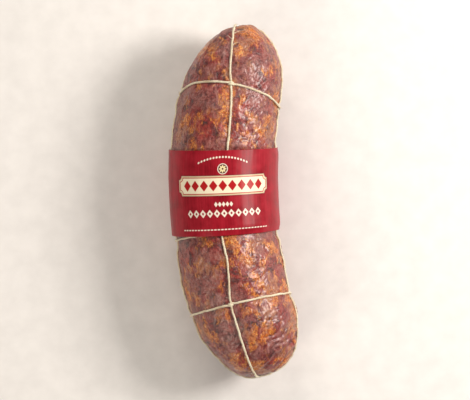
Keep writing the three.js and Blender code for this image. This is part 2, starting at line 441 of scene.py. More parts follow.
def left_angle(y):
    return float(np.interp(y / MM, LEFT_PLACES, LEFT_ANGLES))


all_rays = {
    "long_tie_front_back": loop_rays(front_angle, lambda y: BACK_ANGLE, FOOT_POLE, HEAD_POLE),
    "long_tie_left_right": loop_rays(
        left_angle, lambda y: RIGHT_ANGLE, SIDE_FOOT_POLE, SIDE_HEAD_POLE
    ),
}
for name, (sides, to_front, to_right) in RINGS.items():
    all_rays[name] = []
    for angle in np.linspace(0, 360, RING_RAYS, endpoint=False):
        aim = across(angle)
        y = (sides + to_front * aim.z + to_right * aim.x) * MM
        all_rays[name].append((axis_point(y), aim))
print({name: len(rays) for name, rays in all_rays.items()})


# %% [markdown]
# A tight strand bridges small hollows and cuts across small bumps, so its raw route is
# evened out and laid back on the skin twice. Where two strands cross, the later one
# climbs over the earlier one and presses it deeper into the meat. Small kinks keep a
# strand from looking like wire.

# %% Helpers for routes
TWINE_RADIUS = 1.0 * MM
PRESSED_IN = 0.7 * MM  # how much of the strand lies below the lumpy skin
STEP = 0.75 * MM


def evened(route, steps):
    """A closed route with each point drawn to the middle of its neighbours, many times."""
    for _ in range(steps):
        route = route / 2 + (np.roll(route, 1, 0) + np.roll(route, -1, 0)) / 4
    return route


def spaced(route, step, closed=True):
    """The same route with its points a step apart."""
    ends = np.vstack([route, route[:1]]) if closed else route
    gaps = np.linalg.norm(np.diff(ends, axis=0), axis=1)
    run = np.concatenate([[0], np.cumsum(gaps)])
    count = max(int(round(run[-1] / step)), 8)
    marks = np.linspace(0, run[-1], count, endpoint=not closed)
    return np.stack([np.interp(marks, run, ends[:, k]) for k in range(3)], axis=1)


def laid(route, height):
    """Puts each point of a route at a height above the nearest skin."""
    placed = []
    for point, rise in zip(route, height):
        near, normal, _, _ = lumpy_tree.find_nearest(Vector(point))
        placed.append(np.array(near + normal * rise))
    return np.array(placed)


def point_tree(routes):
    """A search tree of all the points of some routes."""
    points = np.vstack(list(routes))
    found = KDTree(len(points))
    for i, point in enumerate(points):
        found.insert(point, i)
    found.balance()
    return found


def gaps(points, found):
    return np.array([found.find(point)[2] for point in points])


print("points of a route are", STEP / MM, "mm apart")

# %% From rays to strands
RESTING = TWINE_RADIUS - PRESSED_IN
OVER = 0.8 * TWINE_RADIUS  # how far a strand climbs to pass over another
UNDER = 1.0 * TWINE_RADIUS  # and how much deeper it presses the other one
CLIMB = 5.5 * MM  # how far from a crossing the climb starts
SINK = 5 * MM
EVENING = 24
KINK = 0.22 * MM
KINK_LENGTH = 5 * MM
LOWEST = TWINE_RADIUS + 0.8 * MM  # of a strand's middle over the table
LOOPS = ("long_tie_front_back", "long_tie_left_right")

strands = {}
for name, rays in all_rays.items():
    route = spaced(np.array([on_skin(*ray)[0] for ray in rays]), STEP)
    for _ in range(2):
        route = laid(evened(route, EVENING), np.full(len(route), RESTING))
    earlier = [strands[k] for k in LOOPS if k in strands]
    if earlier:
        route = laid(route, RESTING + OVER * bump(gaps(route, point_tree(earlier)), CLIMB))
    kinks = [soft_noise(route, KINK_LENGTH, 90 + k) for k in range(3)]
    route = evened(route, 3) + np.stack(kinks, axis=1) * KINK
    route[:, 2] = np.maximum(route[:, 2], LOWEST)
    strands[name] = route

crossed = point_tree(strands[name] for name in RINGS)
for name in LOOPS:
    route = laid(strands[name], RESTING - UNDER * bump(gaps(strands[name], crossed), SINK))
    route[:, 2] = np.maximum(route[:, 2], LOWEST)
    strands[name] = route
print({name: f"{len(s) * STEP:.3f} m" for name, s in strands.items()})

# %% [markdown]
# At the front of each end ring the ring's twine takes a turn and a half round the
# lengthwise run, which is the hitch that holds it: over the run, under it, and over it
# again beside the first pass. It is written as a short helix about the run, flattened
# below, where the meat holds the strand. The rings that the paper covers go without.

# %% Hitches at the front of the end rings
HITCH_RADIUS = 1.85 * TWINE_RADIUS
HITCH_STEP = 2.1 * TWINE_RADIUS  # the two passes lie side by side
HITCH_TURN = (20, 520)  # degrees, from where the ring comes in to where it goes on
HITCH_POINTS = 46
FLATTENED = 0.35
CUT_OUT = 3.4 * MM  # how much of the plain ring the hitch takes the place of
FRONT_HEIGHT = 20 * MM  # over the axis, so that the back of a ring isn't hitched


def hitched(ring, run, forward):
    """The ring's route with a hitch where it crosses the front of the run."""
    ring = np.roll(ring, len(ring) // 2, axis=0)
    on_top = [i for i in range(len(ring)) if ring[i][2] > axis_height + FRONT_HEIGHT]
    far = [np.linalg.norm(run - ring[i], axis=1).min() for i in on_top]
    middle_of_ring = on_top[int(np.argmin(far))]
    k = int(np.argmin(np.linalg.norm(run - ring[middle_of_ring], axis=1)))
    heart = run[k]
    along_run = run[(k + 3) % len(run)] - run[k - 3]
    along_run /= np.linalg.norm(along_run)
    out = np.array(lumpy_tree.find_nearest(Vector(heart))[1])
    out -= along_run * out.dot(along_run)
    out /= np.linalg.norm(out)
    sideways = np.cross(along_run, out)
    if sideways.dot(ring[middle_of_ring + 6] - ring[middle_of_ring - 6]) < 0:
        sideways = -sideways
    turn = np.radians(np.linspace(*HITCH_TURN, HITCH_POINTS))
    up = np.sin(turn)
    up = np.where(up < 0, up * FLATTENED, up)
    shift = (turn / turn[-1] - 0.5) * HITCH_STEP * forward
    helix = heart + np.outer(shift, along_run)
    helix += HITCH_RADIUS * (np.outer(-np.cos(turn), sideways) + np.outer(up, out))
    distance = np.linalg.norm(ring - heart, axis=1)
    near = [i for i in range(len(ring)) if distance[i] < CUT_OUT]
    joined = np.vstack([ring[: near[0]], helix, ring[near[-1] + 1 :]])
    return spaced(evened(joined, 2), STEP * 0.7)


front_run = strands["long_tie_front_back"]
strands["ring_tie_1"] = hitched(strands["ring_tie_1"], front_run, 1)
strands["ring_tie_4"] = hitched(strands["ring_tie_4"], front_run, -1)
print("hitched rings:", [len(strands[k]) for k in ("ring_tie_1", "ring_tie_4")], "points")

# %% [markdown]
# ## Grooves, puckers and the flat underside
# Tight twine presses a gutter into the skin, with a wide shallow hollow round it. Where
# the lengthwise runs cross at the two ends, the casing is gathered into pleats. The right
# side of the foot dried into slanting wrinkles, and the weight of the sausage presses its
# underside flat. All of these are more moves of the same points.

# %% Grooves under the twine
GUTTER, GUTTER_REACH = 0.85 * MM, 3.3 * MM
GUTTER_BELOW = 1.6 * MM  # how much deeper it may be on the underside
HOLLOW, HOLLOW_REACH = 0.35 * MM, 9 * MM
SQUEEZE = 0.12 * MM  # how far strand and skin flatten each other where they touch
DEEPEST = 3.2 * MM
TOUCH_REACH = 1.9 * MM  # how far from a strand's middle the skin starts to rise to it
TOUCH_RISE = 0.9 * MM

all_strands = np.vstack(list(strands.values()))
twine_tree = point_tree(strands.values())
nearest = [twine_tree.find(p) for p in lumpy]
gap = np.array([found[2] for found in nearest])
beside = lumpy - all_strands[[found[1] for found in nearest]]
height = (beside * outward).sum(axis=1)  # of the skin over the strand's middle
sideways = np.sqrt(np.maximum(gap**2 - height**2, 0))
underneath = np.clip(-outward[:, 2] * 2.5 - 1.2, 0, 1)
gutter = (GUTTER + GUTTER_BELOW * underneath) * bump(gap, GUTTER_REACH)
gutter += HOLLOW * bump(gap, HOLLOW_REACH)

# right below a strand the skin lies against it, however deep the gutter is beside it
snug = height + np.sqrt(np.maximum(TWINE_RADIUS**2 - sideways**2, 0)) - SQUEEZE
touching = np.clip((TOUCH_REACH - sideways) / TOUCH_RISE, 0, 1) * (gap < 3 * MM)
groove = gutter + (np.clip(snug, 0, DEEPEST) - gutter) * touching
print("groove up to", round(groove.max() / MM, 2), "mm deep")


# %% Puckers at the two ends
UNPLEATED = 4 * MM  # right at the crossing the casing is too tight to fold
END_DEPTH = 30 * MM


def pleats(pole_ray, reach, depth, seed):
    """How far inward the pleats round one end press each point."""
    centre, _ = on_skin(*pole_ray)
    facing = np.array(pole_ray[1])
    level = np.cross(facing, (0, 0, 1))
    level /= np.linalg.norm(level)
    upright = np.cross(level, facing)
    offset = skin - centre
    across_pole = np.stack([offset @ level, offset @ upright], axis=1)
    distance = np.linalg.norm(across_pole, axis=1)
    circle = across_pole / np.maximum(distance, 1e-6)[:, None]
    # reading noise on a small circle gives folds that run out from the middle
    on_circle = np.column_stack([circle, distance / (70 * MM)])
    ridges = np.minimum(np.abs(soft_noise(on_circle, 0.3, seed)), 1) ** 0.7
    on_this_end = (offset @ facing > -END_DEPTH) * 1.0
    fade = bump(distance, reach) * np.clip(distance / UNPLEATED, 0, 1)
    return (1 - ridges) * depth * fade * on_this_end


head_ray = (axis_point(head_y), HEAD_POLE)
foot_ray = (axis_point(foot_y), FOOT_POLE)
puckers = pleats(head_ray, 30 * MM, 1.5 * MM, 51) + pleats(foot_ray, 26 * MM, 1.3 * MM, 52)
puckers = puckers + 2.8 * MM * near_place(6.5, 156, 68, 8)  # a tuck beside the head's crossing
print("puckers up to", round(puckers.max() / MM, 2), "mm deep")

# %% Slanting wrinkles at the foot
WRINKLE_SPACING = 6.5 * MM
FOOT_CORNER = [43 * MM, -132 * MM, 62 * MM]
CORNER_REACH = 42 * MM
CORNER_DEPTH, SIDE_DEPTH = 0.75, 0.16  # mm

slant = (skin[:, 0] - skin[:, 1]) / math.sqrt(2)
waver = soft_noise(skin, 14 * MM, 61) * 3.4 + soft_noise(skin, 5 * MM, 62) * 0.9
slanting = np.sin(slant / WRINKLE_SPACING * 2 * math.pi + waver)
at_corner = bump(np.linalg.norm((skin - FOOT_CORNER) / [1, 1.1, 1.3], axis=1), CORNER_REACH)
right_side = np.clip((skin[:, 0] - axis_fit(skin[:, 1])) / (40 * MM), 0, 1) * bare
slanting_depth = (CORNER_DEPTH * at_corner + SIDE_DEPTH * right_side) * MM * slanting
print("slanting wrinkles up to", round(slanting_depth.max() / MM, 2), "mm high")

# %% The finished skin and its flat underside
LIFT_UNDER_BAND = 0.9 * MM  # room for the paper between the meat and the table
carved = lumpy + outward * (slanting_depth - groove - puckers)[:, None]
lowest_here = np.where(bare < 1, LIFT_UNDER_BAND, 0)
carved[:, 2] = np.maximum(carved[:, 2], lowest_here)
write_points(skin_mesh, carved)
final_tree = face_tree(skin_mesh)
print("skin from", (carved.min(0) / MM).round(1), "to", (carved.max(0) / MM).round(1), "mm")

# %% [markdown]
# ## What the skin is made of
# Each point also keeps a few numbers for the colour: how rich in fat its neighbourhood
# is, how much painted shade it gets in a crease, a fold or beside the twine, and how much
# of the dried film lies on it. They are wide, slow changes, so points a millimetre apart
# can hold them. The material adds the fine pattern inside them.

# %% How rich in fat
FATTY_PLACES = (  # x, y, z, reach: where a lump of fat lies just under the casing
    (15, 157, 64, 19),
    (18, 149, 77, 15),
    (14, 154, 72, 12),
    (3, 133, 93, 9),
    (-4, 84, 94, 8),
    (-37, 88, 70, 12),
    (39, 66, 74, 12),
    (-6, -37, 92, 9),
    (-1, -36, 94, 10),
    (-28, -58, 85, 16),
    (-12, -80, 94, 9),
    (36, -86, 84, 12),
    (52, -112, 62, 16),
    (34, -120, 88, 16),
    (50, -135, 55, 14),
    (20, -152, 78, 13),
)
LUMP_OF_FAT = 0.75
rich = 0.45 + 0.6 * soft_noise(warped, 20 * MM, 72, 2)
for x, y, z, reach in FATTY_PLACES:
    rich = rich + LUMP_OF_FAT * near_place(x, y, z, reach)
print("rich in fat:", round(float((rich > 0.8).mean()) * 100), "% of the skin")


# %% How much painted shade in the creases, and how filmed
def ease(values, low, high):
    """0 below low, 1 above high, and a smooth step between."""
    part = np.clip((values - low) / (high - low), 0, 1)
    return part * part * (3 - 2 * part)


# painted shade: darker in the wrinkle valleys, the pleats, the foot's slanting wrinkles and beside
# the twine
crease = 0.9 * np.clip(1 - folds * 3.6, 0, 1) * ease(soft_noise(skin, 12 * MM, 73), -0.4, 0.5)
crease = np.maximum(crease, ease(puckers / MM, 1.0, 2.6))
crease = np.maximum(crease, 0.6 * ease(-slanting, 0.5, 1) * at_corner)
crease = np.maximum(crease, 0.55 * bump(gap, 3.2 * MM)) * bare
right_way = (skin[:, 0] - axis_fit(skin[:, 1])) / (48 * MM)
film = 0.55 + 0.75 * soft_noise(warped, 19 * MM, 74, 2) - 0.05 * right_way
film = film - 0.4 * (rich > 1) * (rich - 1) - 0.5 * crease
for name, values in (("rich", rich), ("crease", crease), ("film", film)):
    layer = skin_mesh.attributes.new(name, "FLOAT", "POINT")
    layer.data.foreach_set("value", np.clip(values, 0, 1.5).astype(np.float32))
print("creased:", round(float((crease > 0.3).mean()) * 100), "% of the skin")

# %% [markdown]
# The material is a thin dried casing over coarse cured meat. The meat is dark red, and
# the fat shows orange, because paprika oil stains it. Over both lies a mauve-grey film of
# dried casing. A chunk of fat is about 6 mm across, a mottle in the meat 8 mm and a fine
# wrinkle 1.6 mm. These are bent aside by a wave of 10 mm, so that none looks ruled. The
# pores are drawn 0.8 mm apart, coarser than real ones, so that they show.

# %% Patterns of the dried casing over coarse cured meat
BENDS, CHUNKS, MOTTLES, WRINKLES, PORES = 95, 170, 130, 620, 1300  # to a metre
BEND = 9 * MM

casing, tree, out = new_material("dried_casing_over_cured_meat")
where = add(tree, "TexCoord").outputs["Object"]
rich_part = add(tree, "Attribute", attribute_name="rich").outputs["Fac"]
# the painted shade of the creases and of the skin beside the twine, kept on each point
crease_shade_part = add(tree, "Attribute", attribute_name="crease").outputs["Fac"]
film_part = add(tree, "Attribute", attribute_name="film").outputs["Fac"]

bend = add(tree, "TexNoise", {"Vector": where, "Scale": BENDS, "Detail": 2})
bent = add(
    tree,
    "VectorMath",
    {0: bend.outputs["Color"], 1: (BEND,) * 3, 2: where},
    operation="MULTIPLY_ADD",
).outputs[0]
slanting_way = add(
    tree, "Mapping", {"Vector": bent, "Rotation": (0, 0, SLANT), "Scale": (1, 0.5, 1)}
).outputs[0]
marbling, mottle, grain, pits = [
    add(
        tree, "TexNoise", {"Vector": vector, "Scale": scale, "Detail": detail, "Roughness": rough}
    ).outputs[0]
    for vector, scale, detail, rough in (
        (slanting_way, CHUNKS, 5, 0.62),
        (bent, MOTTLES, 6, 0.68),
        (slanting_way, WRINKLES, 4, 0.7),
        (where, PORES, 2, 0.6),
    )
]
print("four patterns")

# %% [markdown]
# The colours go on in the order in which they lie in the real sausage: lean meat, then
# fat where the marbling is strong, then the film and the dark specks, and last the painted
# shade in the creases and beside the twine.

# %% Colours of lean meat and stained fat
lean = add(
    tree,
    "ValToRGB",
    {0: mottle},
    ramp=[(0.34, "#4b0b0a"), (0.45, "#8c1b17"), (0.55, "#b43225"), (0.66, "#cd6046")],
)
fat_level = add(tree, "Math", {0: rich_part, 1: 0.27, 2: marbling}, operation="MULTIPLY_ADD")
fat_share = add(
    tree,
    "MapRange",
    {0: fat_level.outputs[0], 1: 0.615, 2: 0.735, 3: 0.0, 4: 0.95},
    interpolation_type="SMOOTHSTEP",
)
stained_fat = add(
    tree,
    "ValToRGB",
    {0: grain},
    ramp=[(0.34, "#b5460c"), (0.5, "#e27f1c"), (0.66, "#f2b452")],
)
print("lean meat and stained fat")

# %% Film, specks and painted shade in the creases
film_level = add(tree, "Math", {0: film_part, 1: 0.26, 2: mottle}, operation="MULTIPLY_ADD")
film_patch = add(
    tree,
    "MapRange",
    {0: film_level.outputs[0], 1: 0.54, 2: 0.76, 3: 0.05, 4: 0.95},
    interpolation_type="SMOOTHSTEP",
)
film_cover = add(tree, "MapRange", {0: grain, 1: 0.36, 2: 0.6, 3: 0.12, 4: 0.9})
film_share = add(
    tree, "Math", {0: film_patch.outputs[0], 1: film_cover.outputs[0]}, operation="MULTIPLY"
)
specks = add(tree, "ValToRGB", {0: pits}, ramp=[(0.32, "#5f5450"), (0.52, "#ffffff")])
crisp = add(tree, "ValToRGB", {0: grain}, ramp=[(0.34, "#4a4a4a"), (0.64, "#bcbcbc")])
# how strongly the painted shade darkens the creases and the skin beside the twine
painted_shade = add(tree, "Math", {0: crease_shade_part, 1: 0.7}, operation="MULTIPLY", use_clamp=True)
print("film, specks and creases")

# %% One layer of colour over the other
skin_colour = lean.outputs[0]
for share, layer, way in (
    (fat_share.outputs[0], stained_fat.outputs[0], "MIX"),
    (film_share.outputs[0], colour("#a5736b"), "MIX"),
    (0.55, specks.outputs[0], "MULTIPLY"),
    (0.6, crisp.outputs[0], "OVERLAY"),
    # the last layer is painted shade, dark brown in the creases and beside the twine
    (painted_shade.outputs[0], colour("#2a100b"), "MIX"),
):
    skin_colour = add(
        tree, "Mix", {0: share, 6: skin_colour, 7: layer}, data_type="RGBA", blend_type=way
    ).outputs[2]
print("five layers over the lean meat")

# %% [markdown]
# Protein and fat have an IOR of about 1.45. Bare oily meat is the glossiest and the film
# is duller, so the roughness follows the film. The wrinkles break the gloss into small
# glints, and a thin coat stands for the oil that sweats out of the meat.

# %% Gloss of the casing
gloss = add(tree, "MapRange", {0: film_share.outputs[0], 1: 0.0, 2: 0.6, 3: 0.3, 4: 0.5})
dried_wrinkles = add(tree, "Bump", {"Strength": 0.9, "Distance": 0.9 * MM, "Height": grain})
pores = add(
    tree,
    "Bump",
    {
        "Strength": 0.5,
        "Distance": 0.3 * MM,
        "Height": pits,
        "Normal": dried_wrinkles.outputs[0],
    },
)
surface = add(
    tree,
    "BsdfPrincipled",
    {
        "Base Color": skin_colour,
        "Roughness": gloss.outputs[0],
        "IOR": 1.45,
        "Specular IOR Level": 0.75,
        "Coat Weight": 0.5,
        "Coat Roughness": 0.26,
        "Normal": pores.outputs[0],
    },
)
tree.links.new(surface.outputs[0], out.inputs[0])

skin_mesh.materials.clear()
skin_mesh.materials.append(casing)
skin_mesh.shade_smooth()
salame = bpy.data.objects.new("salame_skin", skin_mesh)
bpy.context.scene.collection.objects.link(salame)
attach(salame, "root")
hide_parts("salame_body")
print("casing with", len(tree.nodes), "nodes")

# %% [markdown]
# ## The twine
# Butcher's twine is three cotton yarns twisted together, here 2 mm thick with one turn
# every 7 mm. A curve with a round bevel would be smooth, so each strand is built ring by
# ring with a three-lobed outline that turns as it goes. Every point then stays on its own
# yarn, and a texture laid along the points follows the twist by itself.

# %% A twisted tube along a route
YARNS = 3
TURN_LENGTH = 7 * MM
OUTLINE = np.tile([0.78, 0.96, 1.0, 0.96], YARNS)  # one dip and one crown for each yarn


def carried_frames(route, closed):
    """Two directions square to the route at each point, with no sudden turn."""
    if closed:
        ahead = np.roll(route, -1, 0) - np.roll(route, 1, 0)
    else:
        ahead = np.gradient(route, axis=0)
    ahead /= np.linalg.norm(ahead, axis=1)[:, None]
    side = np.cross(ahead[0], (0.13, 0.27, 0.95))
    sides = []
    for direction in ahead:
        side = side - direction * side.dot(direction)
        side /= np.linalg.norm(side)
        sides.append(side)
    sides = np.array(sides)
    return sides, np.cross(ahead, sides), ahead


def tube(route, radius, outline, turns=0.0, closed=True):
    """Points, faces and texture places of a tube. radius is one number for each point."""
    first, second, ahead = carried_frames(route, closed)
    count, around = len(route), len(outline)
    turn = np.linspace(0, 2 * math.pi * turns, count, endpoint=not closed)
    if closed:
        last = first[-1] - ahead[0] * first[-1].dot(ahead[0])
        mismatch = math.atan2(last.dot(second[0]), last.dot(first[0]))
        turn = turn - np.linspace(0, mismatch, count, endpoint=False)
    angle = turn[:, None] + np.linspace(0, 2 * math.pi, around, endpoint=False)[None, :]
    reach = np.asarray(radius)[:, None] * outline[None, :]
    points = route[:, None, :] + reach[..., None] * (
        np.cos(angle)[..., None] * first[:, None, :] + np.sin(angle)[..., None] * second[:, None, :]
    )
    points = points.reshape(-1, 3)
    faces, places = [], []
    for i in range(count if closed else count - 1):
        j = (i + 1) % count
        for a in range(around):
            b = (a + 1) % around
            faces.append((i * around + a, j * around + a, j * around + b, i * around + b))
            places += [(i, a), (i + 1, a), (i + 1, a + 1), (i, a + 1)]
    if not closed:
        for ring, order in ((0, 1), (count - 1, -1)):
            points = np.vstack([points, route[ring]])
            for a in range(around):
                corner = [ring * around + a, ring * around + (a + 1) % around]
                faces.append((*corner[::order], len(points) - 1))
                places += [(ring, a)] * 3
    return points, faces, places


print("a strand has", len(OUTLINE), "points round it")

# %% [markdown]
# Cotton yarn sheds short fibres, and the twine frays where it was rubbed at the head.
# Each stray fibre is a thin closed tube that starts in the strand and curls away. It is
# drawn 0.2 mm thick, as several real ones together, so that it shows. They come from one
# seeded generator, so that every run gives the same ones.

# %% Stray fibres
fibre_dice = np.random.default_rng(17)
FIBRE_RADIUS = 0.1 * MM
FIBRE_POINTS, FIBRE_SIDES = 9, 6
SHORTEST, LONGEST = 1.4, 5.0  # mm
FROM_BAND = 8 * MM  # no fibres this close to the paper
FROM_TABLE = 20 * MM  # or this low


def fibre(start, out, length, radius, side):
    """Points of a curling open tube from a place on the strand."""
    steps = np.linspace(0, 1, FIBRE_POINTS)
    curl = np.cross(out, side)
    route = start + np.outer(steps * length, out) * 0.45
    route = route + np.outer(steps**1.3 * length, side) * 0.85
    route = route + np.outer(np.sin(steps * 3) * length * 0.12, curl)
    route[:, 2] = np.maximum(route[:, 2], 0.4 * MM)
    return tube(route, radius * (1 - 0.6 * steps), np.ones(FIBRE_SIDES), closed=False)


def strays(route, count):
    """Fibres spread along one strand, away from the paper band and from the table."""
    made = []
    while len(made) < count:
        k = int(fibre_dice.integers(len(route)))
        spread = fibre_dice.normal(size=3)
        length = fibre_dice.uniform(SHORTEST, LONGEST) * MM
        start = route[k]
        if abs(start[1] - band_middle_y) < band_half + FROM_BAND or start[2] < FROM_TABLE:
            continue
        out = np.array(final_tree.find_nearest(Vector(start))[1])
        side = spread - out * spread.dot(out)
        side /= np.linalg.norm(side)
        made.append(fibre(start + out * 0.6 * MM, out, length, FIBRE_RADIUS, side))
    return made


print("fibres are", 2 * FIBRE_RADIUS / MM, "mm thick")


# %% Frayed yarns at the head
YARN_RADIUS = 0.3 * MM
FRAYED = (  # place along Y in mm, the way it points, and its length in mm
    (150, (0.75, 0.6, 0), 9),
    (146, (-0.6, 0.5, 0), 7),
    (141, (0.8, 0.45, 0), 7.5),
    (138, (0.5, 0.8, 0), 6),
    (152, (0.9, 0.2, 0), 6),
)


def frayed(route):
    """A few thicker loose yarns beside the front run, close to the head's end."""
    made = []
    for y, side, length in FRAYED:
        front = [i for i in range(len(route)) if route[i][2] > axis_height]
        k = min(front, key=lambda i: abs(route[i][1] - y * MM))
        out = np.array(final_tree.find_nearest(Vector(route[k]))[1])
        side = np.array(side) - out * np.dot(side, out)
        side /= np.linalg.norm(side)
        made.append(fibre(route[k] + out * 0.2 * MM, out * 0.35, length * MM, YARN_RADIUS, side))
    return made


print(len(FRAYED), "yarns fray at the head's end")

# %% [markdown]
# The twine is bleached cotton, so it is matt, slightly furry and cream, with some red oil
# soaked into it from the meat. The yarn's fibres are drawn along the strand, 0.1 mm wide
# and 2 mm long, which is coarser than real cotton, so that they can be seen at all.

# %% Bleached cotton twine
cotton, tree, out = new_material("bleached_cotton_twine")
place = add(tree, "TexCoord")
drawn_out = add(tree, "Mapping", {"Vector": place.outputs["UV"], "Scale": (0.35, 6.5, 1)})
threads = add(
    tree, "TexNoise", {"Vector": drawn_out.outputs[0], "Scale": 1.0, "Detail": 3, "Roughness": 0.7}
)
OILY_PATCHES = 85  # to a metre, so a patch is 12 mm wide
soaked = add(
    tree, "TexNoise", {"Vector": place.outputs["Object"], "Scale": OILY_PATCHES, "Detail": 3}
)
clean = add(
    tree,
    "ValToRGB",
    {0: threads.outputs[0]},
    ramp=[(0.3, "#c4b48e"), (0.5, "#eae0c4"), (0.7, "#fbf5e4")],
)
oily = add(tree, "MapRange", {0: soaked.outputs[0], 1: 0.48, 2: 0.75, 3: 0.0, 4: 0.5})
dyed = add(
    tree,
    "Mix",
    {0: oily.outputs[0], 6: clean.outputs[0], 7: colour("#c39a6a")},
    data_type="RGBA",
)
ridges = add(tree, "Bump", {"Strength": 0.6, "Distance": 0.2 * MM, "Height": threads.outputs[0]})
surface = add(
    tree,
    "BsdfPrincipled",
    {
        "Base Color": dyed.outputs[2],
        "Roughness": 0.85,
        "Sheen Weight": 0.25,
        "Sheen Roughness": 0.5,
        "Normal": ridges.outputs[0],
    },
)
tree.links.new(surface.outputs[0], out.inputs[0])
print("cotton with", len(tree.nodes), "nodes")


# %% One piece for each tie
OFF_TABLE = 0.3 * MM  # the lowest that a point of a tie may be


def join_tubes(tubes):
    """Many tubes as one list of points, one of faces and one of texture places."""
    points, faces, places = [], [], []
    for some_points, some_faces, some_places in tubes:
        start = sum(len(p) for p in points)
        points.append(some_points)
        faces += [tuple(i + start for i in face) for face in some_faces]
        places += some_places
    return np.vstack(points), faces, places


def twine_piece(name, node, extra):
    """The twisted strand of one CAD tie, with its loose fibres. Gives its length."""
    route = strands[node]
    steps = np.arange(len(route))[:, None] * [1.0, 0, 0]
    uneven = 1 + 0.09 * soft_noise(steps, 9, 81) + 0.08 * soft_noise(steps, 3.4, 82)
    length = np.linalg.norm(route - np.roll(route, 1, 0), axis=1).sum()
    turns = round(length / TURN_LENGTH)
    strand = tube(route, TWINE_RADIUS * uneven, OUTLINE, turns)
    points, faces, places = join_tubes([strand] + extra)
    points[:, 2] = np.maximum(points[:, 2], OFF_TABLE)
    piece = new_object(name, points, faces, cotton)
    layer = piece.data.uv_layers.new(name="strand")
    layer.data.foreach_set("uv", np.array(places, np.float32).ravel())
    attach(piece, "root")
    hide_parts(node)
    return length


for name, node, count in (
    ("twine_front_back", "long_tie_front_back", 110),
    ("twine_left_right", "long_tie_left_right", 50),
    ("twine_ring_1", "ring_tie_1", 48),
    ("twine_ring_2", "ring_tie_2", 0),
    ("twine_ring_3", "ring_tie_3", 0),
    ("twine_ring_4", "ring_tie_4", 44),
):
    extra = strays(strands[node], count)
    if node == "long_tie_front_back":
        extra += frayed(strands[node])
    print(name, round(twine_piece(name, node, extra), 3), "m of twine")

# %% [markdown]
# ## The paper band
# The band is a strip of coated paper, pulled taut round the middle and glued at the back.
# Taut paper can't follow a hollow, so its section is the outline that a rubber band would
# take: the convex outline of skin and twine together. Each row of points is found that
# way, then evened along the sausage, because paper doesn't stretch. The CAD band gives
# the slack that it stands off at the sides.

# %% Rows and columns of the strip
PAPER = 0.3 * MM
STRIP_WIDTH = 77  # mm
COLUMN_STEP = 0.55 * MM  # fine where there is print
PRINT_HALF = 54 * MM
band_radius = 51 * MM
fine_angles = np.degrees(np.arange(-PRINT_HALF, PRINT_HALF, COLUMN_STEP) / band_radius)
GLUE_LAP = 8  # degrees of overlap at the back, on each side of straight down
coarse = np.linspace(fine_angles[-1], 180 + GLUE_LAP, 56)[1:]
coarse_left = np.linspace(-180 - GLUE_LAP, fine_angles[0], 56)[:-1]
columns = np.radians(np.concatenate([coarse_left, fine_angles, coarse]))
rows = np.linspace(0, 1, 141)
TOP_EDGE = (48.6, -3.2, 1.1)  # middle of the two sides, lean to the front, to the right
LOWER_EDGE = (-28.9, -2.2, 2.9)


def edge_y(edge_line, angle):
    """Where an edge of the band lies along the sausage, at an angle round it."""
    sides, to_front, to_right = edge_line
    return (sides + to_front * np.cos(angle) + to_right * np.sin(angle)) * MM


print("strip of", len(rows), "by", len(columns), "points")

# %% What lies under the band
tie_trees = []
for piece in bpy.data.objects:
    if piece.name.startswith("twine_"):
        tie_trees.append(face_tree(piece.data))
band_tree = face_tree(frame["nodes"]["label_band"].data)
OUTSIDE = 0.085


def outermost(y, angle):
    """How far out skin, twine and the CAD band reach at one place, and the first two alone."""
    start = axis_point(y)
    aim = Vector((math.sin(angle), 0, math.cos(angle)))
    far = start + aim * OUTSIDE
    reach = 0
    for target in [final_tree] + tie_trees:
        hit = target.ray_cast(far, -aim)
        if hit[0] is not None:
            reach = max(reach, OUTSIDE - hit[3])
    cad_hit = band_tree.ray_cast(far, -aim)
    return reach, (OUTSIDE - cad_hit[3] if cad_hit[0] is not None else reach)


def taut(angles, reach):
    """The radii of the convex outline round a set of radii."""
    points = np.stack([np.sin(angles), np.cos(angles)], axis=1) * reach[:, None]
    order = np.argsort(angles)
    count = len(order)
    result = reach.copy()
    i = 0
    while i < count - 1:
        here = points[order[i]]
        best, best_turn = i + 1, None
        for j in range(i + 1, min(i + 1 + count // 3, count)):
            step = points[order[j]] - here
            turn = math.atan2(step[0] * here[1] - step[1] * here[0], step.dot(here))
            if best_turn is None or turn < best_turn:
                best, best_turn = j, turn
        for j in range(i + 1, best):
            aim = points[order[j]] / reach[order[j]]
            target = points[order[best]] - here
            crossing = aim[0] * target[1] - aim[1] * target[0]
            if abs(crossing) > 1e-12:
                result[order[j]] = (here[0] * target[1] - here[1] * target[0]) / crossing
        i = best
    return result


EVERY_ROW = 4  # only one row in four is surveyed
OVER_TWINE = 0.5 * MM  # the paper's outside over the twine and the skin
INTO_CAD = 0.45 * MM  # its outside may be this far inside the CAD band's
LOOSEST = 1.9 * MM  # how far it stands off at the right side

survey_angles = np.radians(np.arange(-180, 180, 2.0))
survey_rows = rows[::EVERY_ROW]
reaches = np.zeros((len(survey_rows), len(survey_angles)))
for r, row in enumerate(survey_rows):
    for c, angle in enumerate(survey_angles):
        low, high = edge_y(LOWER_EDGE, angle), edge_y(TOP_EDGE, angle)
        reach, cad_reach = outermost(float(low + (high - low) * row), angle)
        loose = LOOSEST * max(math.sin(angle), 0) ** 3 * (0.4 + 0.6 * row)
        reaches[r, c] = max(reach + OVER_TWINE, cad_reach - INTO_CAD + loose)
    reaches[r] = taut(survey_angles, reaches[r])
print("band radius from", round(reaches.min() / MM, 1), "to", round(reaches.max() / MM, 1), "mm")

# %% [markdown]
# The survey is coarse, so it is evened along both directions and read off at each point
# of the strip. The lap at the back rides over the start of the strip by one thickness of
# paper. The strip gets faint creases along the sausage, where it bent as it was wrapped.


# %% The survey evened and read off
def evened_rows(grid, steps, ring):
    """A grid of radii evened along the sausage, and with ring round it as well."""
    for _ in range(steps):
        if ring:
            grid = grid / 2 + (np.roll(grid, 1, 1) + np.roll(grid, -1, 1)) / 4
        padded = np.vstack([grid[:1], grid, grid[-1:]])
        grid = grid / 2 + (padded[2:] + padded[:-2]) / 4
    return grid


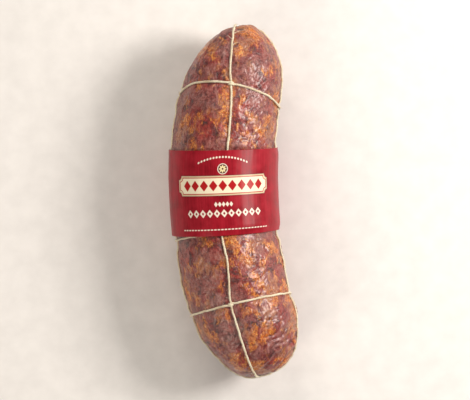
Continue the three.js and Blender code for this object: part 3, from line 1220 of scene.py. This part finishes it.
stretched = np.maximum(evened_rows(reaches, 12, False), reaches)
stretched = evened_rows(stretched, 2, True)
wrapped = np.mod(columns + math.pi, 2 * math.pi) - math.pi
ring_angles = np.concatenate([survey_angles, [math.pi]])
strip_reach = np.zeros((len(rows), len(columns)))
for c, angle in enumerate(wrapped):
    at_rows = [np.interp(angle, ring_angles, np.append(line, line[0])) for line in stretched]
    strip_reach[:, c] = np.interp(rows, survey_rows, at_rows)
print("strip radius from", round(strip_reach.min() / MM, 1), "mm")

# %% The lap and the creases
lap = np.clip((np.degrees(columns) - 180 + GLUE_LAP) / 4, 0, 1)
strip_reach += lap * (PAPER + 0.1 * MM)
lay_y = rows[:, None] * STRIP_WIDTH * MM
around_mm = columns * band_radius
crease_at = np.stack(
    [np.tile(around_mm, (len(rows), 1)), lay_y * 0.12 + 0 * columns, 0 * lay_y + 0 * columns], 2
).reshape(-1, 3)
paper_crease = soft_noise(crease_at, 8 * MM, 91) * 0.16 + soft_noise(crease_at, 3 * MM, 92) * 0.05
strip_reach += (paper_crease * MM).reshape(strip_reach.shape)
print("creases up to", round(float(np.abs(paper_crease).max()), 2), "mm")

# %% The strip's outside and back
LIES_AT = 0.02 * MM  # the lowest that the paper may be


def strip_point(row, angle, reach):
    """One place on the strip, from its row, its angle and its radius."""
    low, high = edge_y(LOWER_EDGE, angle), edge_y(TOP_EDGE, angle)
    start = axis_point(float(low + (high - low) * row))
    return (start.x + math.sin(angle) * reach, start.y, start.z + math.cos(angle) * reach)


outer, inner = [], []
for r, row in enumerate(rows):
    for c, angle in enumerate(columns):
        outer.append(strip_point(row, angle, strip_reach[r, c]))
        inner.append(strip_point(row, angle, strip_reach[r, c] - PAPER))
outer, inner = np.array(outer), np.array(inner)
outer[:, 2] = np.maximum(outer[:, 2], LIES_AT)
inner[:, 2] = np.maximum(inner[:, 2], LIES_AT + PAPER)
strip_low, strip_high = outer[:, 2].min() / MM, outer[:, 2].max() / MM
print("strip from z", round(strip_low, 2), "to", round(strip_high, 2), "mm")

# %% [markdown]
# ## The print
# The band carries a plain pattern in the manner of a delicatessen band: an arc of dots,
# a round flower, a cream panel with a row of red lozenges, small diamonds and a dashed
# line at the foot. It could be an image, but shapes stay sharp at any size if each point
# of the strip only knows how far it is from the nearest ink edge, and the material turns
# that distance into ink or no ink.


# %% How far a point is inside a shape, in millimetres
def inside_box(u, v, half_u, half_v):
    """Above 0 in a box, 0 on its edge and below 0 beside it, as in all these shapes."""
    far_u = np.abs(u) - half_u
    far_v = np.abs(v) - half_v
    outside = np.hypot(np.maximum(far_u, 0), np.maximum(far_v, 0))
    return -outside - np.minimum(np.maximum(far_u, far_v), 0)


def inside_ticket(u, v, half_u, half_v, scoop):
    """A panel whose corners are scooped out by a quarter circle."""
    corner = np.hypot(half_u - np.abs(u), half_v - np.abs(v)) - scoop
    return np.minimum(inside_box(u, v, half_u, half_v), corner)


def inside_lozenge(u, v, half_u, half_v):
    return (1 - np.abs(u) / half_u - np.abs(v) / half_v) * min(half_u, half_v) * 0.8


def inside_oval(u, v, half_u, half_v):
    return (1 - np.hypot(u / half_u, v / half_v)) * min(half_u, half_v)


def row_of(shape, u, v, count, spacing, *sizes):
    """The same shape many times, side by side about the middle."""
    nearest = np.clip(np.round(u / spacing + (count - 1) / 2), 0, count - 1) - (count - 1) / 2
    return shape(u - nearest * spacing, v, *sizes)


u = np.tile(around_mm / MM, len(rows))
v = np.repeat(rows * STRIP_WIDTH, len(columns))
print("strip laid flat:", round(np.ptp(u)), "by", round(np.ptp(v)), "mm")

# %% Panel, lozenges, dots and dashes
# how far the middle of each row is above the band's lower edge
DASHES_UP, WIDE_ROW_UP, SMALL_ROW_UP, PANEL_UP, FLOWER_UP, ARCH_UP = 5.7, 20.2, 28.4, 45.2, 60.3, 71

arch = v - (ARCH_UP - 5.2 * (u / 23.5) ** 2)
dots = row_of(inside_oval, u, arch, 17, 2.9, 0.95, 0.95)
panel_v = v - PANEL_UP
panel = inside_ticket(u, panel_v, 46.8, 8.9, 3.6)
rule = 0.42 - np.abs(inside_ticket(u, panel_v, 45.2, 7.3, 3.6))
lozenges = row_of(inside_lozenge, u, panel_v, 9, 9.0, 4.1, 5.0)
small_row = row_of(inside_lozenge, u, v - SMALL_ROW_UP, 5, 3.6, 1.7, 2.4)
wide_row = row_of(inside_lozenge, u, v - WIDE_ROW_UP, 11, 6.8, 3.1, 3.7)
wide_hearts = row_of(inside_lozenge, u, v - WIDE_ROW_UP, 11, 6.8, 1.2, 1.5)
wide_row = np.minimum(wide_row, -wide_hearts)
dashes = row_of(inside_box, u, v - DASHES_UP, 27, 3.3, 1.2, 0.5)
print("cream on", round(float((panel > 0).mean()) * 100), "% of the points, as a panel")

# %% Flower, and which ink each shape has
flower_v = v - FLOWER_UP
badge = inside_oval(u, flower_v, 4.9, 4.9)
badge_field = inside_oval(u, flower_v, 4.2, 4.2)
bearing = np.arctan2(flower_v, u)
from_heart = np.hypot(u, flower_v)
petals = np.minimum(1.7 + 2.0 * np.abs(np.cos(bearing * 4)) - from_heart, from_heart - 0.9)

INKS = {
    "cream_ink": np.max([dots, panel, small_row, wide_row, dashes, badge], axis=0),
    "red_ink": np.maximum(rule, lozenges),
    "dark_ink": badge_field,
    "petal_ink": petals,
    "panel_depth": panel,
}
print("inks:", list(INKS))

# %% [markdown]
# The paper is red ink on a coated sheet, with faint streaks along the sausage where the
# coat creased, and patches of 11 mm. Coated paper is a little glossy. Its fibres are drawn
# 1.4 mm apart, so that they still show. The other inks are laid over the red one by one.

# %% Coated, printed paper
PATCHES, FIBRES, PULP = 90, 700, 500  # to a metre

printed, tree, out = new_material("coated_printed_paper")
place = add(tree, "TexCoord")
laid_out = add(tree, "Mapping", {"Vector": place.outputs["UV"], "Scale": (900, 26, 1)})
drawn = add(tree, "TexNoise", {"Vector": laid_out.outputs[0], "Scale": 0.9, "Detail": 2})
mottle = add(tree, "TexNoise", {"Vector": place.outputs["Object"], "Scale": PATCHES, "Detail": 3})
streaky = add(
    tree, "Math", {0: drawn.outputs[0], 1: 0.6, 2: mottle.outputs[0]}, operation="MULTIPLY_ADD"
)
crimson = add(
    tree,
    "ValToRGB",
    {0: streaky.outputs[0]},
    ramp=[(0.55, "#800b1a"), (0.8, "#981324"), (1.0, "#a61b2c")],
)


def ink(under, name, hex_code, start=-0.18, end=0.18, strength=1.0):
    """Lays one ink over a colour where its distance says so."""
    amount = add(
        tree,
        "MapRange",
        {
            0: add(tree, "Attribute", attribute_name=name).outputs["Fac"],
            1: start,
            2: end,
            3: 0.0,
            4: strength,
        },
    )
    return add(
        tree,
        "Mix",
        {0: amount.outputs[0], 6: under, 7: colour(hex_code)},
        data_type="RGBA",
    ).outputs[2]


print_colour = ink(crimson.outputs[0], "panel_depth", "#5c0d14", -1.6, 0.4, 0.75)
print_colour = ink(print_colour, "cream_ink", "#efe6d6")
print_colour = ink(print_colour, "panel_depth", "#c9b48a", 0.0, 0.3)
print_colour = ink(print_colour, "panel_depth", "#f3e9cc", 0.5, 1.6)
print_colour = ink(print_colour, "red_ink", "#b01a1c")
print_colour = ink(print_colour, "dark_ink", "#4a0e14")
print_colour = ink(print_colour, "petal_ink", "#e9d9a8")
fibres = add(tree, "TexNoise", {"Vector": place.outputs["Object"], "Scale": FIBRES, "Detail": 3})
uneven = add(tree, "Bump", {"Strength": 0.12, "Distance": 0.1 * MM, "Height": fibres.outputs[0]})
sheen = add(tree, "MapRange", {0: mottle.outputs[0], 1: 0.3, 2: 0.7, 3: 0.3, 4: 0.4})
surface = add(
    tree,
    "BsdfPrincipled",
    {
        "Base Color": print_colour,
        "Roughness": sheen.outputs[0],
        "Specular IOR Level": 0.22,
        "Normal": uneven.outputs[0],
    },
)
tree.links.new(surface.outputs[0], out.inputs[0])
print("printed paper with", len(tree.nodes), "nodes")

# %% Uncoated back and cut edge of the paper
paper_back, tree, out = new_material("uncoated_paper_back")
where = add(tree, "TexCoord").outputs["Object"]
pulp = add(tree, "TexNoise", {"Vector": where, "Scale": PULP, "Detail": 4})
tint = add(tree, "ValToRGB", {0: pulp.outputs[0]}, ramp=[(0.35, "#d8cfc2"), (0.65, "#f1ebe2")])
felt = add(tree, "Bump", {"Strength": 0.3, "Distance": 0.1 * MM, "Height": pulp.outputs[0]})
surface = add(
    tree,
    "BsdfPrincipled",
    {"Base Color": tint.outputs[0], "Roughness": 0.8, "Normal": felt.outputs[0]},
)
tree.links.new(surface.outputs[0], out.inputs[0])
print("paper back with", len(tree.nodes), "nodes")

# %% The strip as a closed sheet of paper
wide, tall = len(columns), len(rows)
sheet = wide * tall
faces, printed_face = [], []
for r in range(tall - 1):
    for c in range(wide - 1):
        a = r * wide + c
        faces.append((a, a + 1, a + wide + 1, a + wide))
        faces.append((a + wide + sheet, a + wide + 1 + sheet, a + 1 + sheet, a + sheet))
        printed_face += [0, 1]
edge_loop = [c for c in range(wide)] + [r * wide + wide - 1 for r in range(1, tall)]
edge_loop += [(tall - 1) * wide + c for c in range(wide - 2, -1, -1)]
edge_loop += [r * wide for r in range(tall - 2, 0, -1)]
for a, b in zip(edge_loop, edge_loop[1:] + edge_loop[:1]):
    faces.append((b, a, a + sheet, b + sheet))
    printed_face.append(1)
band = new_object("paper_band", np.vstack([outer, inner]), faces, printed)
band.data.materials.append(paper_back)
band.data.polygons.foreach_set("material_index", printed_face)
for name, distance in INKS.items():
    layer = band.data.attributes.new(name, "FLOAT", "POINT")
    layer.data.foreach_set("value", np.tile(np.clip(distance, -9, 9), 2).astype(np.float32))
corners = np.zeros(len(band.data.loops), np.int32)
band.data.loops.foreach_get("vertex_index", corners)
flat_places = np.stack([np.tile(u, 2), np.tile(v, 2)], axis=1)[corners] * MM
band.data.uv_layers.new(name="strip").data.foreach_set("uv", flat_places.astype(np.float32).ravel())
for at_edge in band.data.edges:
    first, second = at_edge.vertices
    at_edge.use_edge_sharp = (first < sheet) != (second < sheet)
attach(band, "root")
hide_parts("label_band")
print("band of", len(faces), "faces")
